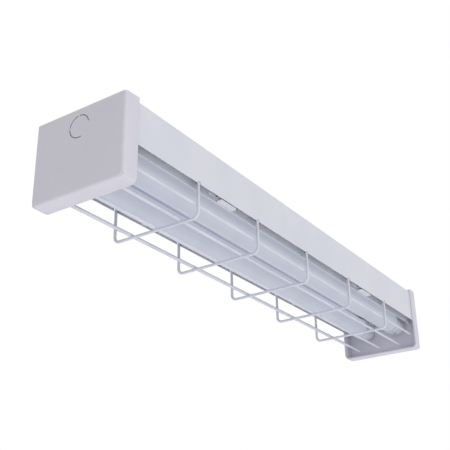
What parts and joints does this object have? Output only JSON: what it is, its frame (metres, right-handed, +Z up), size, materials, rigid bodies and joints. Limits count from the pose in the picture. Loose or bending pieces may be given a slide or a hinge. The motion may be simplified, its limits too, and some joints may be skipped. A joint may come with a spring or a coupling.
{
  "type": "batten light with wire guard",
  "caption": "Surface-mounted batten light with open tubes under a folded steel channel, moulded end caps and a hinged wire guard.",
  "frame": {"origin": "in the ceiling plane, midway between the two ceiling screw holes", "axes": "+X along the light towards the far cap, +Y to the hinged side of the guard, +Z up to the ceiling"},
  "size_m": [0.627, 0.108, 0.084],
  "materials": {
    "housing_enamel": "white semi-gloss enamel on folded steel sheet",
    "tray_enamel": "white gloss enamel on folded steel sheet, reflecting",
    "cap_plastic": "white moulded plastic, fine satin",
    "latch_plastic": "white moulded plastic",
    "guard_wire": "white powder coat on drawn steel wire",
    "spring_steel": "zinc-plated spring steel",
    "holder_plastic": "white moulded plastic",
    "rotor_plastic": "white moulded plastic",
    "contact_bronze": "bare bronze strip",
    "opal_glass": "glossy opal white glass",
    "tube_cap_plastic": "white moulded plastic",
    "pin_metal": "nickel-plated brass",
    "led_board": "white solder mask",
    "driver_board": "green solder mask",
    "terminal_plastic": "ivory moulded plastic",
    "terminal_brass": "bare brass",
    "zinc_screw": "bright zinc plate",
    "live_lead": "brown insulation",
    "neutral_lead": "blue insulation",
    "grommet_rubber": "black moulded rubber"
  },
  "bodies": {
    "housing": {"body": "housing_enamel", "end_cap_near": "cap_plastic", "end_cap_far": "cap_plastic", "gear_tray": "tray_enamel", "guard_hinge_clips": "spring_steel", "guard_catches": "spring_steel", "lampholder_front_near": "holder_plastic", "lampholder_front_far": "holder_plastic", "lampholder_back_near": "holder_plastic", "lampholder_back_far": "holder_plastic", "holder_contacts": "contact_bronze", "terminal_block": "terminal_plastic", "terminal_screws": "terminal_brass", "earth_screw": "zinc_screw", "live_wires": "live_lead", "neutral_wires": "neutral_lead", "cable_grommet": "grommet_rubber"},
    "guard": {"guard_hoop_1": "guard_wire", "guard_hoop_2": "guard_wire", "guard_hoop_3": "guard_wire", "guard_hoop_4": "guard_wire", "guard_hoop_5": "guard_wire", "bottom_rail_front": "guard_wire", "bottom_rail_middle": "guard_wire", "bottom_rail_back": "guard_wire", "side_rail_front": "guard_wire", "side_rail_back": "guard_wire"},
    "front_tube": {"tube_front_glass": "opal_glass", "tube_front_cap_near": "tube_cap_plastic", "tube_front_cap_far": "tube_cap_plastic", "tube_front_pins": "pin_metal", "tube_front_led_board": "led_board", "tube_front_driver": "driver_board", "rotor_front_near": "rotor_plastic", "rotor_front_far": "rotor_plastic"},
    "back_tube": {"tube_back_glass": "opal_glass", "tube_back_cap_near": "tube_cap_plastic", "tube_back_cap_far": "tube_cap_plastic", "tube_back_pins": "pin_metal", "tube_back_led_board": "led_board", "tube_back_driver": "driver_board", "rotor_back_near": "rotor_plastic", "rotor_back_far": "rotor_plastic"},
    "near_latch": {"latch_near": "latch_plastic"},
    "far_latch": {"latch_far": "latch_plastic"}
  },
  "joints": [
    {"name": "guard_hinge", "type": "hinge", "parent": "housing", "child": "guard", "pos_m": [0, 0.04675, -0.042], "axis": [1, 0, 0], "range_deg": [0, 90]},
    {"name": "front_tube_turn", "type": "hinge", "parent": "housing", "child": "front_tube", "pos_m": [0, -0.023, -0.046], "axis": [1, 0, 0], "range_deg": [0, 90]},
    {"name": "back_tube_turn", "type": "hinge", "parent": "housing", "child": "back_tube", "pos_m": [0, 0.023, -0.046], "axis": [1, 0, 0], "range_deg": [0, 90]},
    {"name": "near_latch_slide", "type": "slide", "parent": "housing", "child": "near_latch", "axis": [-1, 0, 0], "range_m": [0, 0.012]},
    {"name": "far_latch_slide", "type": "slide", "parent": "housing", "child": "far_latch", "axis": [-1, 0, 0], "range_m": [0, 0.012]}
  ]
}
